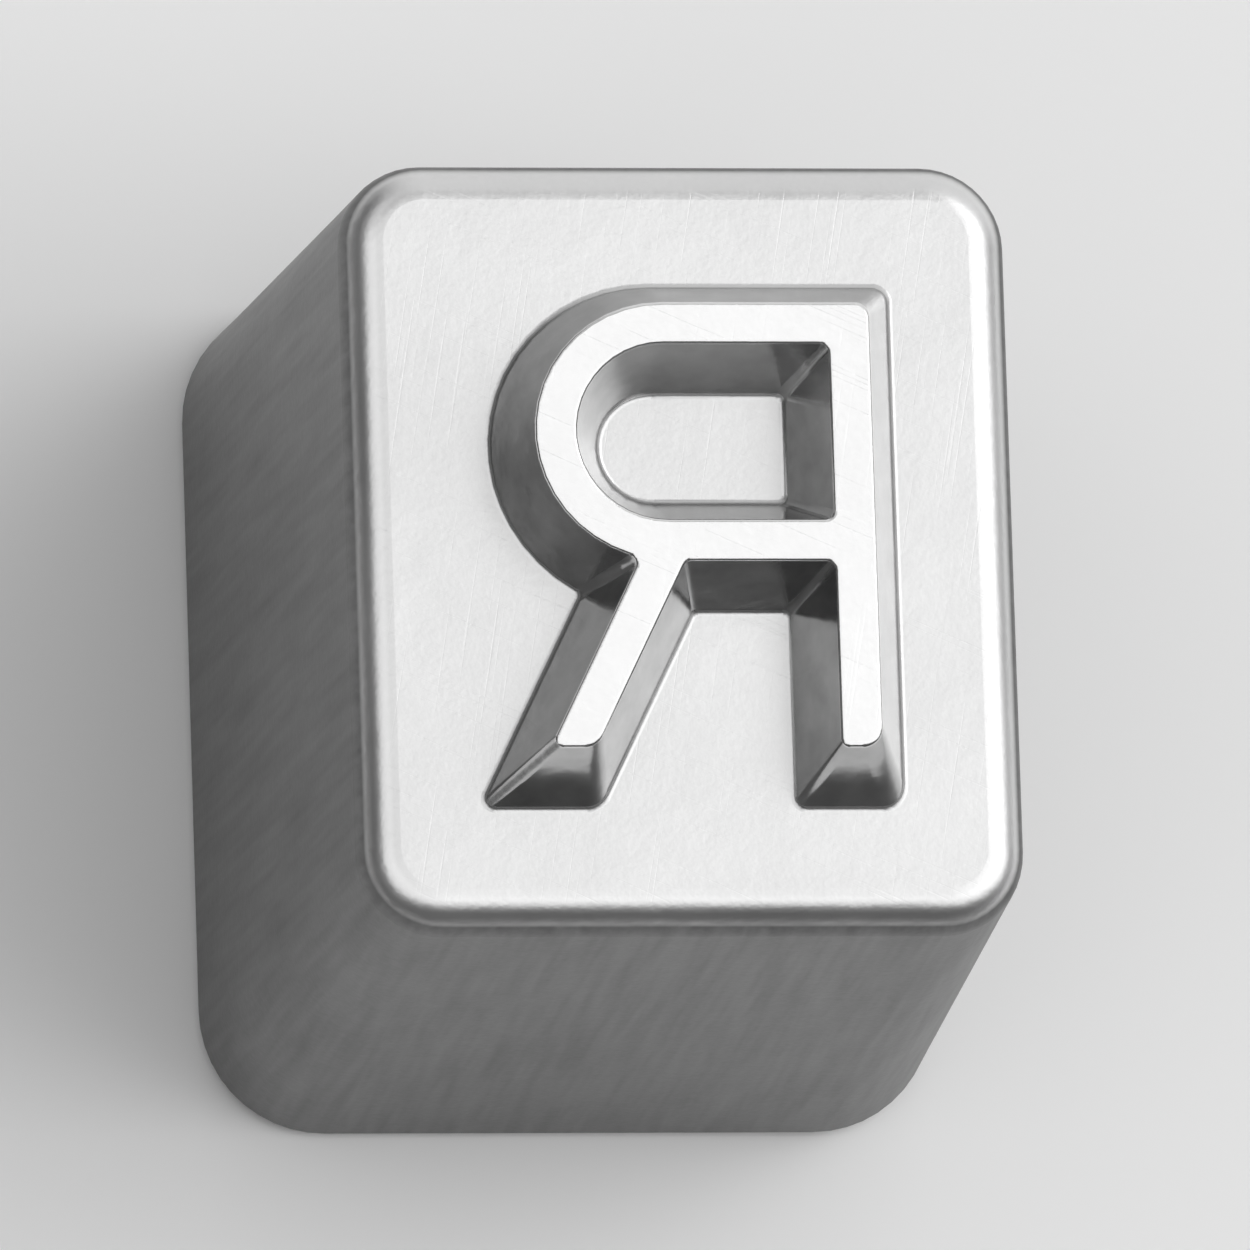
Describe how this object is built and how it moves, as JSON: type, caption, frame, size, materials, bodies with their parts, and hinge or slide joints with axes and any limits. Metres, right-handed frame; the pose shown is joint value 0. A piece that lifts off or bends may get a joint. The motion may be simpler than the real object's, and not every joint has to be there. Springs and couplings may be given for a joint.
{
  "type": "letter punch",
  "caption": "Small metal punch block with one raised, reversed capital letter on its face and a blind round socket in its back for a handle.",
  "frame": {"origin": "centre of the socket's mouth in the flat back face", "axes": "+Z from the back face to the letter, +Y towards the top of the letter, +X towards the letter's stem"},
  "size_m": [0.0094, 0.0106, 0.0121],
  "materials": {
    "punch_steel": "bright satin"
  },
  "bodies": {
    "root": {"letter_punch": "punch_steel"}
  },
  "joints": []
}
